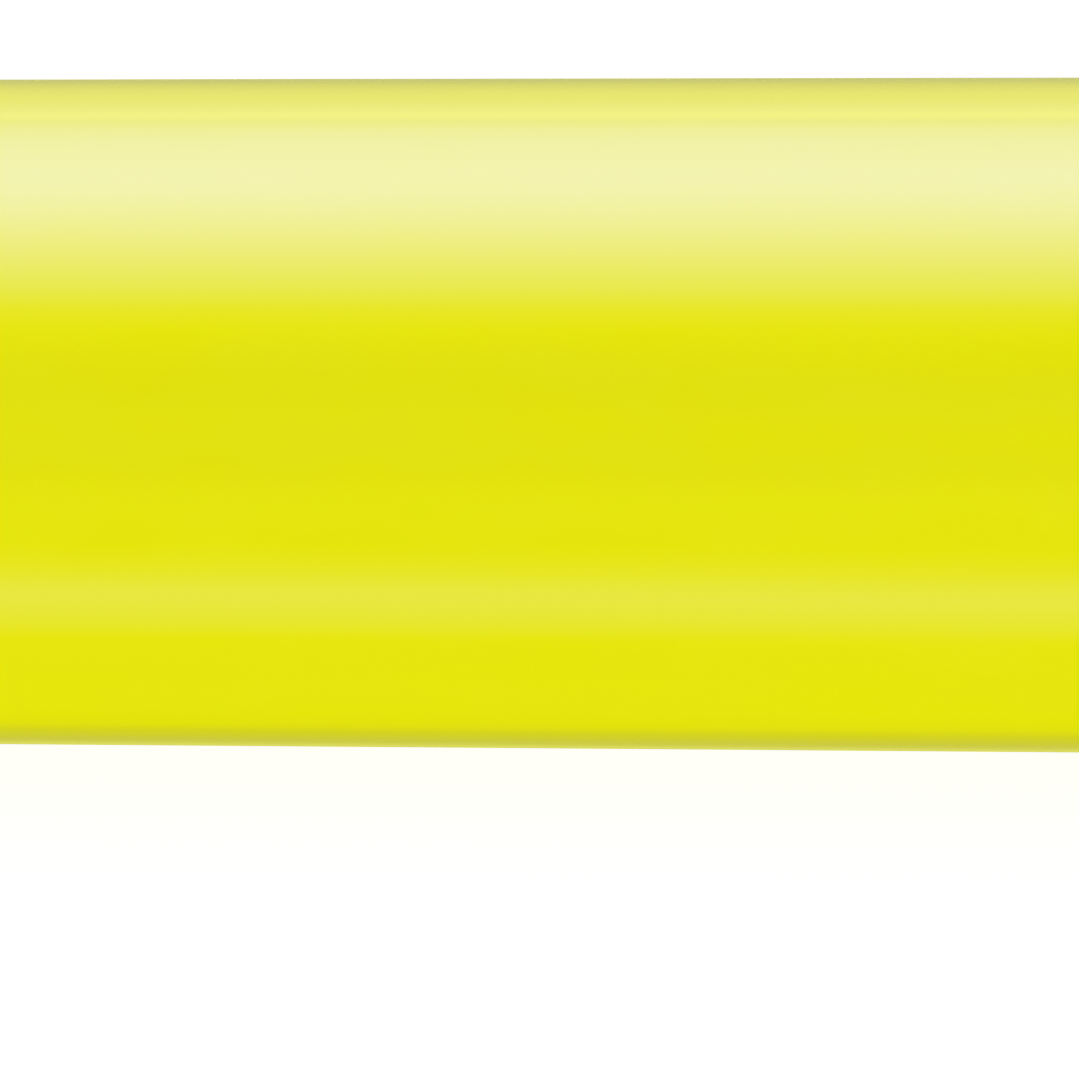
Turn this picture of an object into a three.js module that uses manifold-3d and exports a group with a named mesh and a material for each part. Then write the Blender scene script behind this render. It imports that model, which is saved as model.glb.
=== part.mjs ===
// A capped pocket highlighter, lying on its side on a table with its clip touching the table.
//
// Millimetres, +Z up. The pen's axis lies along X, with the tail at -X and the cap at +X. The origin is
// the middle of the whole object's footprint, on the table. Until the last step every piece is drawn
// about its own axis with X measured from the tail's end face, so "along" below means that distance.

import * as THREE from "three";
import { mergeVertices } from "three/addons/utils/BufferGeometryUtils.js";
import Module from "manifold-3d";

// ---- Driving dimensions ----

const LENGTH = 134; // tail face to crown face
const MID_RADIUS = 5.65; // the barrel's outer radius halfway along it
const DRAFT = 0.0048; // growth of that radius per millimetre, towards the cap
const CAP_LENGTH = 39.85; // crown face to the cap's mouth
const TAIL_LENGTH = 2; // the tail plug's flange
const FACETS = 40; // flats round each turned piece

// Gaps between pieces
const SEAM = 0.15; // along the axis, where one piece seats on another
const FIT = 0.1; // radial, where one piece is pushed into another
const SLIDE = 0.15; // radial, between the cap and the pen

// Edges
const ROUND = 0.35; // rounded outer rims
const CHAMFER = 0.3; // lead-in chamfers
const ROUND_STEPS = 3; // straight steps in each rounded edge

// Barrel
const BORE_R = 4.55;
const BARREL_START = TAIL_LENGTH + SEAM;
const BARREL_END = LENGTH - CAP_LENGTH - SEAM;
const SNAP_DEPTH = 0.2; // grooves in the bore for the snap rings of the plug and the section
const SNAP_LENGTH = 1.2;
const SNAP_SLACK = 0.3; // how much longer a groove is than the ring in it
const BORE_RIBS = 6; // hold the reservoir and leave air around it
const BORE_RIB_WIDTH = 0.6;
const BORE_RIB_HEIGHT = 0.25;

// Tail plug
const TAIL_SPIGOT_END = 10;
const TAIL_SPIGOT_WALL = 1;
const TAIL_SNAP_AT = 6;
const TAIL_EDGE = 0.8;

// Reservoir: a fibre core in a film wrap, with a breather tube in a groove along the core
const FILM_START = 12;
const FILM_END = 84;
const FILM_R = 4.2;
const FILM_THICKNESS = 0.2;
const CORE_INSET = 0.5; // the core's ends lie this far inside the film's
const CORE_R = FILM_R - FILM_THICKNESS - SLIDE;
const BREATHER_R = 0.6;
const BREATHER_WALL = 0.25;
const BREATHER_FACETS = 12;
const BREATHER_OFFSET = 3.25; // from the pen's axis
const BREATHER_OVERHANG = 0.6; // past each end of the film

// Nib section
const SECTION_START = 85;
const SECTION_SNAP_AT = 89;
const NECK_START = BARREL_END + SEAM;
const NECK_R = 4.85;
const NECK_BEAD_AT = NECK_START + 3.2;
const NECK_BEAD_LENGTH = 1.2;
const NECK_BEAD_HEIGHT = 0.08;
const NECK_END = NECK_START + 7.4;
const LAND_START = NECK_END + 0.6; // where the inner cap seals
const LAND_R = 4.1;
const LAND_END = LAND_START + 4.4;
const SECTION_END = LAND_END + 4;
const SECTION_TIP_R = 3.3;
const SECTION_HOLLOW_R = 3.4; // behind the nib's socket
const SECTION_HOLLOW_END = 98;
const SECTION_SHOULDER = 1.2; // length of the cone between the hollow and the stem's bore

// Nib
const NIB_WIDTH = 5;
const NIB_THICKNESS = 3.4;
const NIB_CORNER = 1.1;
const NIB_END = 118;
const NIB_SLANT = 2.6; // how far the chisel's short corner lies behind its long one
const NIB_BEVEL = 4.6; // length of the two faces that thin the chisel's edge
const NIB_EDGE = 1.5; // thickness of that edge
const SOCKET_START = 103.5;
const STEM_R = 1.7;
const STEM_START = 76;
const STEM_POINT = 2;
const STEM_POINT_R = 0.6;
const STEM_BORE_R = STEM_R + 2 * FIT;
const AIR_NOTCH_WIDTH = 1; // air passages beside the nib, in the socket's flats
const AIR_NOTCH_DEPTH = 0.5;

// Cap shell
const CAP_START = NECK_START;
const CAP_END = 131;
const CAP_MOUTH_R = outerRadius(BARREL_END) + 0.04;
const CAP_TOP_R = 5.66;
const CAP_LAND_R = NECK_R + SLIDE; // the bore that slides over the neck
const CAP_GROOVE_R = CAP_LAND_R + 0.14;
const CAP_BORE_R = 4.95;
const LINER_RIBS = 6; // centre the inner cap and leave air around it
const LINER_RIB_WIDTH = 0.6;
const FLUTES = 9; // finger flutes on each side of the cap, one to a facet
const FLUTE_STEP = 360 / FACETS; // degrees
const FLUTE_START = 99;
const FLUTE_END = 115;
const FLUTE_WIDTH = 0.5;
const FLUTE_DEPTH = 0.22;

// Inner cap
const LINER_START = LAND_START + 1.4;
const LINER_END = 124.5;
const LINER_R = 4.6;
const LINER_FLOOR = 0.9;
const LINER_LIP_R = LAND_R + FIT;
const LINER_LIP_LENGTH = 2.4;
const LINER_BORE_R = LINER_LIP_R + 0.1;

// Crown
const CROWN_START = LINER_END + 0.5;
const CROWN_FLANGE_START = CAP_END + SEAM;
const CROWN_FLANGE_R = 5.6;
const CROWN_EDGE = 0.7;
const CROWN_WALL = 1.2; // the spigot's wall
const CROWN_FLOOR = 1.4; // the flange's thickness over the hollow
const VENTS = 3;
const VENT_INNER_R = 2;
const VENT_OUTER_R = 3.1;
const VENT_SPAN = 70; // degrees

// Clip
const CLIP_DROP = 27; // degrees that the clip points below the horizontal: three facets
const CLIP_WIDTH = 4.6;
const CLIP_TIP_WIDTH = 3.7;
const CLIP_THICKNESS = 1.25;
const CLIP_CHAMFER = 0.35; // along the outer face's long edges
const CLIP_ROOT = 126.3; // the arm's root
const CLIP_TIP = 98.2; // the arm's free end
const CLIP_BUMP_AT = 103;
const CLIP_BUMP_R = 2.6;
const CLIP_BUMP_GAP = 0.3; // between the bump and the cap
const CLIP_GAP = SEAM * 2; // between the arm's root and the boss
const BOSS_END = CAP_END - 0.6;
const BOSS_FOOT_R = 5.1;
const BOSS_SLOPE = 1.4;
// The outer face is as far out as lets the clip's lower edge and the cap touch the table together.
const CLIP_OUTER_R =
  (flatRadius(CAP_MOUTH_R) - (CLIP_WIDTH / 2) * cosDegrees(CLIP_DROP)) /
    sinDegrees(CLIP_DROP) +
  CLIP_CHAMFER;
const CLIP_INNER_R = CLIP_OUTER_R - CLIP_THICKNESS;

// ---- Materials ----

const FLUORESCENT = { color: 0xe5e70a, roughness: 0.28, metalness: 0 };
const MATERIALS = {
  bodyYellow: new THREE.MeshStandardMaterial(FLUORESCENT),
  clipYellow: new THREE.MeshStandardMaterial({ ...FLUORESCENT, roughness: 0.32 }),
  liner: new THREE.MeshStandardMaterial({ color: 0xf1f0e6, roughness: 0.45, metalness: 0 }),
  film: new THREE.MeshStandardMaterial({ color: 0xf4f4ee, roughness: 0.2, metalness: 0 }),
  inkedFibre: new THREE.MeshStandardMaterial({ color: 0xd6e010, roughness: 0.95, metalness: 0 }),
  felt: new THREE.MeshStandardMaterial({ color: 0xd2dc14, roughness: 0.9, metalness: 0 }),
};

// ---- Small formulas ----

function outerRadius(along) {
  const middle = (BARREL_START + BARREL_END) / 2;
  return MID_RADIUS + DRAFT * (along - middle);
}

// Distance from the axis to the middle of a facet whose corners lie at the radius.
function flatRadius(radius) {
  return radius * Math.cos(Math.PI / FACETS);
}

function sinDegrees(angle) {
  return Math.sin(THREE.MathUtils.degToRad(angle));
}

function cosDegrees(angle) {
  return Math.cos(THREE.MathUtils.degToRad(angle));
}

// ---- Shape helpers ----

// A solid of revolution about the pen's axis, from a path whose x is along and whose y is the radius.
function turned(path, facets = FACETS) {
  const points = path
    .getPoints(ROUND_STEPS)
    .map((point) => new THREE.Vector2(point.y, point.x));
  if (THREE.ShapeUtils.area(points) < 0) points.reverse();
  const flatDown = Math.PI / facets;
  return new THREE.LatheGeometry(points, facets, flatDown).rotateZ(-Math.PI / 2);
}

// Starts a path at its first corner and goes straight through the others.
function through(...corners) {
  const path = new THREE.Path().moveTo(...corners[0]);
  for (const corner of corners.slice(1)) path.lineTo(...corner);
  return path;
}

// Rounds the corner of a path between its last point and the point given.
function rounded(path, corner, to) {
  return path.quadraticCurveTo(...corner, ...to);
}

// A flat outline in along and height, made into a slab that is width wide across the pen.
function slab(outline, width) {
  const options = { depth: width, bevelEnabled: false, curveSegments: 2 * ROUND_STEPS };
  return new THREE.ExtrudeGeometry(outline, options).translate(0, 0, -width / 2);
}

// A flat outline in along and across, made into a slab between two heights.
function plank(outline, low, high) {
  const options = { depth: high - low, bevelEnabled: false, curveSegments: 2 * ROUND_STEPS };
  return new THREE.ExtrudeGeometry(outline, options)
    .rotateX(-Math.PI / 2)
    .translate(0, low, 0);
}

// A box from start to end along the pen, between two heights and width wide, turned about the axis.
function bar(start, end, low, high, width, turn = 0) {
  return new THREE.BoxGeometry(end - start, high - low, width)
    .translate((start + end) / 2, (low + high) / 2, 0)
    .rotateX(turn);
}

// Turns by equal steps all the way round.
function allRound(count, first = 0) {
  return Array.from({ length: count }, (_, i) => first + (2 * Math.PI * i) / count);
}

const wasm = await Module();
wasm.setup();

function toSolid(geometry) {
  const bare = geometry.clone();
  bare.deleteAttribute("normal");
  bare.deleteAttribute("uv");
  const merged = mergeVertices(bare, 1e-4);
  const mesh = new wasm.Mesh({
    numProp: 3,
    vertProperties: merged.getAttribute("position").array,
    triVerts: new Uint32Array(merged.index.array),
  });
  return new wasm.Manifold(mesh);
}

function toGeometry(solid) {
  const { vertProperties, triVerts } = solid.getMesh();
  return new THREE.BufferGeometry()
    .setAttribute("position", new THREE.BufferAttribute(vertProperties, 3))
    .setIndex(new THREE.BufferAttribute(triVerts, 1));
}

function joined(base, pieces) {
  const solid = pieces.reduce((sum, piece) => sum.add(toSolid(piece)), toSolid(base));
  return toGeometry(solid);
}

function cut(base, cutters) {
  const solid = cutters.reduce((rest, cutter) => rest.subtract(toSolid(cutter)), toSolid(base));
  return toGeometry(solid);
}

function common(base, others) {
  const solid = others.reduce((rest, other) => rest.intersect(toSolid(other)), toSolid(base));
  return toGeometry(solid);
}

function part(name, geometry, material) {
  const mesh = new THREE.Mesh(geometry, material);
  mesh.name = name;
  return mesh;
}

// ---- Barrel side ----

// Open tube with a little draft, a snap groove near each end and ribs for the reservoir.
function barrel() {
  const startR = outerRadius(BARREL_START);
  const endR = outerRadius(BARREL_END);
  const grooveR = BORE_R + SNAP_DEPTH;
  const grooveLength = SNAP_LENGTH + SNAP_SLACK;
  const frontGroove = SECTION_SNAP_AT - SNAP_SLACK / 2;
  const rearGroove = TAIL_SNAP_AT - SNAP_SLACK / 2;
  const path = through([BARREL_START, BORE_R + CHAMFER], [BARREL_START, startR - ROUND]);
  rounded(path, [BARREL_START, startR], [BARREL_START + ROUND, startR]);
  path.lineTo(BARREL_END - ROUND, endR);
  rounded(path, [BARREL_END, endR], [BARREL_END, endR - ROUND]);
  path.lineTo(BARREL_END, BORE_R + CHAMFER);
  path.lineTo(BARREL_END - CHAMFER, BORE_R);
  for (const start of [frontGroove, rearGroove]) {
    path.lineTo(start + grooveLength, BORE_R);
    path.lineTo(start + grooveLength - SNAP_DEPTH, grooveR);
    path.lineTo(start + SNAP_DEPTH, grooveR);
    path.lineTo(start, BORE_R);
  }
  path.lineTo(BARREL_START + CHAMFER, BORE_R);
  path.closePath();
  const innerR = BORE_R - BORE_RIB_HEIGHT;
  const rootR = BORE_R + SNAP_DEPTH;
  const ribs = allRound(BORE_RIBS).map((turn) =>
    bar(FILM_START, FILM_END, innerR, rootR, BORE_RIB_WIDTH, turn),
  );
  return joined(turned(path), ribs);
}

// Closes the barrel's rear end: a flange with a flat face, and a hollow spigot with a snap ring.
function tailPlug() {
  const flangeR = outerRadius(BARREL_START);
  const spigotR = BORE_R - FIT;
  const ringR = spigotR + SNAP_DEPTH - FIT / 2;
  const hollowR = spigotR - TAIL_SPIGOT_WALL;
  const path = through([0, 0], [0, flangeR - TAIL_EDGE]);
  rounded(path, [0, flangeR], [TAIL_EDGE, flangeR]);
  path.lineTo(TAIL_LENGTH, flangeR);
  path.lineTo(TAIL_LENGTH, spigotR);
  path.lineTo(TAIL_SNAP_AT, spigotR);
  path.lineTo(TAIL_SNAP_AT + SNAP_DEPTH, ringR);
  path.lineTo(TAIL_SNAP_AT + SNAP_LENGTH - SNAP_DEPTH, ringR);
  path.lineTo(TAIL_SNAP_AT + SNAP_LENGTH, spigotR);
  path.lineTo(TAIL_SPIGOT_END - CHAMFER, spigotR);
  path.lineTo(TAIL_SPIGOT_END, spigotR - CHAMFER);
  path.lineTo(TAIL_SPIGOT_END, hollowR);
  path.lineTo(TAIL_LENGTH, hollowR);
  path.lineTo(TAIL_LENGTH, 0);
  return turned(path);
}

function reservoirFilm() {
  const innerR = FILM_R - FILM_THICKNESS;
  const path = through(
    [FILM_START, innerR],
    [FILM_START, FILM_R],
    [FILM_END, FILM_R],
    [FILM_END, innerR],
  );
  path.closePath();
  return turned(path);
}

// Fibre rod with a hole that takes the nib's stem, and a groove that takes the breather tube.
function reservoirCore() {
  const start = FILM_START + CORE_INSET;
  const end = FILM_END - CORE_INSET;
  const path = through(
    [start, 0],
    [start, CORE_R],
    [end, CORE_R],
    [end, STEM_BORE_R],
    [STEM_START, STEM_BORE_R],
    [STEM_START - STEM_POINT_R, 0],
  );
  const groove = tube(start - 1, end + 1, BREATHER_R + SLIDE, 0);
  return cut(turned(path), [groove.translate(0, BREATHER_OFFSET, 0)]);
}

// A round rod along the axis, with a bore through it if innerR isn't 0.
function tube(start, end, outerR, innerR) {
  const path = through([start, innerR], [start, outerR], [end, outerR], [end, innerR]);
  if (innerR > 0) path.closePath();
  return turned(path, BREATHER_FACETS);
}

function breatherTube() {
  const start = FILM_START - BREATHER_OVERHANG;
  const end = FILM_END + BREATHER_OVERHANG;
  return tube(start, end, BREATHER_R, BREATHER_R - BREATHER_WALL).translate(0, BREATHER_OFFSET, 0);
}

// The moulded front end: a spigot that snaps into the barrel, the neck that carries the cap, the land
// that the inner cap seals on, and a cone with the nib's socket.
function nibSection() {
  const spigotR = BORE_R - FIT;
  const ringR = spigotR + SNAP_DEPTH - FIT / 2;
  const beadR = NECK_R + NECK_BEAD_HEIGHT;
  const beadEnd = NECK_BEAD_AT + NECK_BEAD_LENGTH;
  const path = through(
    [SECTION_START, SECTION_HOLLOW_R],
    [SECTION_START, spigotR - CHAMFER],
    [SECTION_START + CHAMFER, spigotR],
    [SECTION_SNAP_AT, spigotR],
    [SECTION_SNAP_AT + SNAP_DEPTH, ringR],
    [SECTION_SNAP_AT + SNAP_LENGTH - SNAP_DEPTH, ringR],
    [SECTION_SNAP_AT + SNAP_LENGTH, spigotR],
    [NECK_START, spigotR],
    [NECK_START, NECK_R],
    [NECK_BEAD_AT, NECK_R],
    [NECK_BEAD_AT + CHAMFER, beadR],
    [beadEnd - CHAMFER, beadR],
    [beadEnd, NECK_R],
    [NECK_END - CHAMFER, NECK_R],
    [NECK_END, NECK_R - CHAMFER],
    [LAND_START, LAND_R],
    [LAND_END, LAND_R],
    [SECTION_END - ROUND, SECTION_TIP_R],
  );
  rounded(path, [SECTION_END, SECTION_TIP_R], [SECTION_END, SECTION_TIP_R - ROUND]);
  path.lineTo(SECTION_END, STEM_BORE_R);
  path.lineTo(SECTION_HOLLOW_END + SECTION_SHOULDER, STEM_BORE_R);
  path.lineTo(SECTION_HOLLOW_END, SECTION_HOLLOW_R);
  path.closePath();
  const socketEnd = SECTION_END + 1;
  const socket = nibBar(SOCKET_START - SEAM, socketEnd, FIT);
  const notchR = NIB_THICKNESS / 2 + AIR_NOTCH_DEPTH;
  const notches = allRound(2).map((turn) =>
    bar(SECTION_HOLLOW_END, socketEnd, 0, notchR, AIR_NOTCH_WIDTH, turn),
  );
  return cut(turned(path), [socket, ...notches]);
}

// The nib's rounded rectangular section, grown by extra all round, between two places along the pen.
function nibBar(start, end, extra) {
  const across = NIB_WIDTH / 2 + extra;
  const deep = NIB_THICKNESS / 2 + extra;
  const corner = NIB_CORNER + extra;
  const outline = new THREE.Shape()
    .moveTo(-across + corner, -deep)
    .lineTo(across - corner, -deep)
    .quadraticCurveTo(across, -deep, across, -deep + corner)
    .lineTo(across, deep - corner)
    .quadraticCurveTo(across, deep, across - corner, deep)
    .lineTo(-across + corner, deep)
    .quadraticCurveTo(-across, deep, -across, deep - corner)
    .lineTo(-across, -deep + corner)
    .quadraticCurveTo(-across, -deep, -across + corner, -deep);
  const options = { depth: end - start, bevelEnabled: false, curveSegments: ROUND_STEPS };
  return new THREE.ExtrudeGeometry(outline, options).rotateY(Math.PI / 2).translate(start, 0, 0);
}

// Felt nib: a flat front with a slanted chisel edge, and a round stem that reaches into the reservoir.
function nib() {
  const start = SOCKET_START;
  const across = NIB_WIDTH / 2;
  const deep = NIB_THICKNESS / 2;
  const slanted = new THREE.Shape()
    .moveTo(start, -across)
    .lineTo(NIB_END, -across)
    .lineTo(NIB_END - NIB_SLANT, across)
    .lineTo(start, across);
  const wedge = new THREE.Shape()
    .moveTo(start, -deep)
    .lineTo(NIB_END - NIB_BEVEL, -deep)
    .lineTo(NIB_END, -NIB_EDGE / 2)
    .lineTo(NIB_END, NIB_EDGE / 2)
    .lineTo(NIB_END - NIB_BEVEL, deep)
    .lineTo(start, deep);
  const blade = common(nibBar(start, NIB_END, 0), [
    plank(slanted, -NIB_THICKNESS, NIB_THICKNESS),
    slab(wedge, 2 * NIB_WIDTH),
  ]);
  const stem = turned(
    through(
      [STEM_START, 0],
      [STEM_START, STEM_POINT_R],
      [STEM_START + STEM_POINT, STEM_R],
      [start + STEM_POINT, STEM_R],
      [start + STEM_POINT, 0],
    ),
  );
  return joined(stem, [blade]);
}

// ---- Cap side. The clip's direction is +Y here; the cap's group turns it to the table. ----

function capOuterRadius(along) {
  const share = (along - CAP_START) / (CAP_END - CAP_START);
  return THREE.MathUtils.lerp(CAP_MOUTH_R, CAP_TOP_R, share);
}

// Outer shell: snap groove inside the mouth, ribs around the inner cap, finger flutes and clip boss.
function capShell() {
  const bead = [NECK_BEAD_AT - SNAP_SLACK, NECK_BEAD_AT + NECK_BEAD_LENGTH + SNAP_SLACK];
  const path = through([CAP_START, CAP_LAND_R + CHAMFER], [CAP_START, CAP_MOUTH_R - ROUND]);
  rounded(path, [CAP_START, CAP_MOUTH_R], [CAP_START + ROUND, CAP_MOUTH_R]);
  path.lineTo(CAP_END - ROUND, CAP_TOP_R);
  rounded(path, [CAP_END, CAP_TOP_R], [CAP_END, CAP_TOP_R - ROUND]);
  path.lineTo(CAP_END, CAP_BORE_R);
  path.lineTo(NECK_END + CHAMFER, CAP_BORE_R);
  path.lineTo(NECK_END, CAP_LAND_R);
  path.lineTo(bead[1], CAP_LAND_R);
  path.lineTo(bead[1] - CHAMFER, CAP_GROOVE_R);
  path.lineTo(bead[0] + CHAMFER, CAP_GROOVE_R);
  path.lineTo(bead[0], CAP_LAND_R);
  path.lineTo(CAP_START + CHAMFER, CAP_LAND_R);
  path.closePath();

  const ribs = allRound(LINER_RIBS, Math.PI / LINER_RIBS).map((turn) =>
    bar(LINER_START + 1, LINER_END, LINER_R + FIT, CAP_LAND_R + FIT, LINER_RIB_WIDTH, turn),
  );
  return cut(joined(turned(path), [clipBoss(), ...ribs]), flutes());
}

// Raised block at the crown end that carries the clip.
function clipBoss() {
  const start = CLIP_ROOT + CLIP_GAP;
  const outline = new THREE.Shape()
    .moveTo(start, BOSS_FOOT_R)
    .lineTo(BOSS_END, BOSS_FOOT_R)
    .lineTo(BOSS_END, CLIP_OUTER_R - BOSS_SLOPE)
    .quadraticCurveTo(BOSS_END, CLIP_OUTER_R, BOSS_END - 2 * BOSS_SLOPE, CLIP_OUTER_R)
    .lineTo(start, CLIP_OUTER_R);
  return common(slab(outline, CLIP_WIDTH), [chamferedBar()]);
}

// The cross-section that the clip and its boss share, drawn out along the whole cap.
function chamferedBar() {
  const side = CLIP_WIDTH / 2;
  const outline = new THREE.Shape()
    .moveTo(-side, 0)
    .lineTo(side, 0)
    .lineTo(side, CLIP_OUTER_R - CLIP_CHAMFER)
    .lineTo(side - CLIP_CHAMFER, CLIP_OUTER_R)
    .lineTo(CLIP_CHAMFER - side, CLIP_OUTER_R)
    .lineTo(-side, CLIP_OUTER_R - CLIP_CHAMFER);
  return new THREE.ExtrudeGeometry(outline, { depth: CAP_LENGTH, bevelEnabled: false })
    .rotateY(Math.PI / 2)
    .translate(CAP_START, 0, 0);
}

// Shallow lengthwise grooves on both sides of the cap, clear of the clip.
function flutes() {
  const middle = (FLUTES - 1) / 2;
  const cutters = [];
  for (const side of [-1, 1]) {
    for (let i = 0; i < FLUTES; i += 1) {
      const angle = side * (90 + FLUTE_STEP * (i - middle));
      const turn = THREE.MathUtils.degToRad(angle);
      const low = flatRadius(CAP_MOUTH_R) - FLUTE_DEPTH - 0.05;
      cutters.push(bar(FLUTE_START, FLUTE_END, low, CAP_MOUTH_R + 1, FLUTE_WIDTH, turn));
    }
  }
  return cutters;
}

// Soft inner cap that seals round the nib: open towards the pen, with a thick lip at its mouth.
function innerCap() {
  const lipEnd = LINER_START + LINER_LIP_LENGTH;
  const floor = LINER_END - LINER_FLOOR;
  const path = through(
    [LINER_END, 0],
    [LINER_END, LINER_R - CHAMFER],
    [LINER_END - CHAMFER, LINER_R],
    [LINER_START + CHAMFER, LINER_R],
    [LINER_START, LINER_R - CHAMFER / 2],
    [LINER_START, LINER_LIP_R + FIT],
    [LINER_START + CHAMFER, LINER_LIP_R],
    [lipEnd - CHAMFER, LINER_LIP_R],
    [lipEnd, LINER_BORE_R],
    [floor, LINER_BORE_R],
    [floor, 0],
  );
  return turned(path);
}

// Vented plug that closes the cap and holds the inner cap in place.
function capCrown() {
  const spigotR = CAP_BORE_R - FIT;
  const hollowR = spigotR - CROWN_WALL;
  const path = through(
    [LENGTH - CROWN_FLOOR, 0],
    [LENGTH - CROWN_FLOOR, hollowR],
    [CROWN_START, hollowR],
    [CROWN_START, spigotR - CHAMFER],
    [CROWN_START + CHAMFER, spigotR],
    [CROWN_FLANGE_START, spigotR],
    [CROWN_FLANGE_START, CROWN_FLANGE_R],
    [LENGTH - CROWN_EDGE, CROWN_FLANGE_R],
  );
  rounded(path, [LENGTH, CROWN_FLANGE_R], [LENGTH, CROWN_FLANGE_R - CROWN_EDGE]);
  path.lineTo(LENGTH, 0);
  return cut(turned(path), allRound(VENTS).map(vent));
}

// One curved air slot through the crown's face.
function vent(turn) {
  const half = THREE.MathUtils.degToRad(VENT_SPAN / 2);
  const outline = new THREE.Shape()
    .absarc(0, 0, VENT_OUTER_R, -half, half, false)
    .absarc(0, 0, VENT_INNER_R, half, -half, true);
  const depth = 2 * CROWN_FLOOR;
  const options = { depth, bevelEnabled: false, curveSegments: 2 * ROUND_STEPS };
  return new THREE.ExtrudeGeometry(outline, options)
    .rotateY(Math.PI / 2)
    .translate(LENGTH - depth + 0.5, 0, 0)
    .rotateX(turn);
}

// Spring arm: slim, tapered, with a bump near its free end that grips a pocket against the cap.
function clip() {
  const tip = CLIP_TIP;
  const bumpLowR = capOuterRadius(CLIP_BUMP_AT) + CLIP_BUMP_GAP;
  const lip = CLIP_THICKNESS / 2;
  const side = new THREE.Shape()
    .moveTo(CLIP_ROOT, CLIP_OUTER_R)
    .lineTo(CLIP_ROOT, CLIP_INNER_R)
    .lineTo(CLIP_BUMP_AT + CLIP_BUMP_R, CLIP_INNER_R)
    .quadraticCurveTo(CLIP_BUMP_AT + CLIP_BUMP_R / 2, bumpLowR, CLIP_BUMP_AT, bumpLowR)
    .quadraticCurveTo(CLIP_BUMP_AT - CLIP_BUMP_R / 2, bumpLowR, tip + 2 * lip, CLIP_INNER_R + lip)
    .quadraticCurveTo(tip, CLIP_OUTER_R - lip, tip + lip, CLIP_OUTER_R - lip / 2)
    .quadraticCurveTo(CLIP_BUMP_AT, CLIP_OUTER_R, (CLIP_BUMP_AT + CLIP_ROOT) / 2, CLIP_OUTER_R);
  const root = CLIP_WIDTH / 2;
  const end = CLIP_TIP_WIDTH / 2;
  const plan = new THREE.Shape()
    .moveTo(CLIP_ROOT, -root)
    .lineTo(CLIP_ROOT, root)
    .lineTo(tip + end, end)
    .quadraticCurveTo(tip, end, tip, 0)
    .quadraticCurveTo(tip, -end, tip + end, -end);
  return common(slab(side, 2 * CLIP_WIDTH), [plank(plan, 0, 2 * CLIP_OUTER_R), chamferedBar()]);
}

// ---- Assembly ----

function assembly() {
  const { bodyYellow, clipYellow, liner, film, inkedFibre, felt } = MATERIALS;
  const pen = new THREE.Group();
  pen.add(
    part("barrel", barrel(), bodyYellow),
    part("tail_plug", tailPlug(), bodyYellow),
    part("reservoir_film", reservoirFilm(), film),
    part("reservoir_core", reservoirCore(), inkedFibre),
    part("breather_tube", breatherTube(), liner),
    part("nib_section", nibSection(), bodyYellow),
    part("nib", nib(), felt),
  );
  const cap = new THREE.Group();
  cap.add(
    part("cap_shell", capShell(), bodyYellow),
    part("inner_cap", innerCap(), liner),
    part("cap_crown", capCrown(), bodyYellow),
    part("clip", clip(), clipYellow),
  );
  cap.rotation.x = Math.PI + THREE.MathUtils.degToRad(CLIP_DROP);

  const highlighter = new THREE.Group().add(pen, cap);
  const box = new THREE.Box3().setFromObject(highlighter, true);
  const middle = box.getCenter(new THREE.Vector3());
  highlighter.position.set(-middle.x, -middle.y, -box.min.z);
  return highlighter;
}

export default assembly();
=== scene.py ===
"""A capped pocket highlighter lying on a white table, seen close up from the side.

Shapes are drawn in millimetres in the pen's own frame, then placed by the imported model's boxes: X is the
distance along the pen from its tail face, and Y and Z are the distances from its axis. Cap pieces are drawn
with +Y towards the clip, and turned with it.
"""

import math

import bmesh
import bpy
from mathutils import Matrix, Quaternion, Vector, noise


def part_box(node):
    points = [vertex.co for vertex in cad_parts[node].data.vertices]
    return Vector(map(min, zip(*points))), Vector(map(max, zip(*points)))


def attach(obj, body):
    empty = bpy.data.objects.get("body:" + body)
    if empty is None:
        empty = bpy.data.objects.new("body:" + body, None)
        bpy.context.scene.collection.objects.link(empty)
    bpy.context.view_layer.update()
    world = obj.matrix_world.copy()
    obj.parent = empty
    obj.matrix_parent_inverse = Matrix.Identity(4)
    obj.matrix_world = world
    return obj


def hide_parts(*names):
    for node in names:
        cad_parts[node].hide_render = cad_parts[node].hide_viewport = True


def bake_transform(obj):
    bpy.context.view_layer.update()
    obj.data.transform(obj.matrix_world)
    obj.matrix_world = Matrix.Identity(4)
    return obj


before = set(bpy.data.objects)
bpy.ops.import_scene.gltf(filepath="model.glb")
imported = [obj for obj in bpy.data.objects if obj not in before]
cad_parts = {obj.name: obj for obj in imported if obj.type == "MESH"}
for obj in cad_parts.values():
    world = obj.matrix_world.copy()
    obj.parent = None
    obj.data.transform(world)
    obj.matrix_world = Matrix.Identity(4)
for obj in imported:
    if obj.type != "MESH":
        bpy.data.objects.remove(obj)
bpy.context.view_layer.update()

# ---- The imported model's places, in millimetres ----

MM = 0.001


def box_mm(node):
    """A node's lowest and highest corners."""
    low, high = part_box(node)
    return low / MM, high / MM


TAIL_X = box_mm("tail_plug")[0].x
AXIS_Y, AXIS_Z = (sum(box_mm("barrel"), Vector()) / 2).yz


def span(node):
    """Where a node starts and ends along the pen."""
    low, high = box_mm(node)
    return low.x - TAIL_X, high.x - TAIL_X


def radius(node):
    """A round node's largest radius."""
    low, high = box_mm(node)
    return (high.z - low.z) / 2


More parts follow.
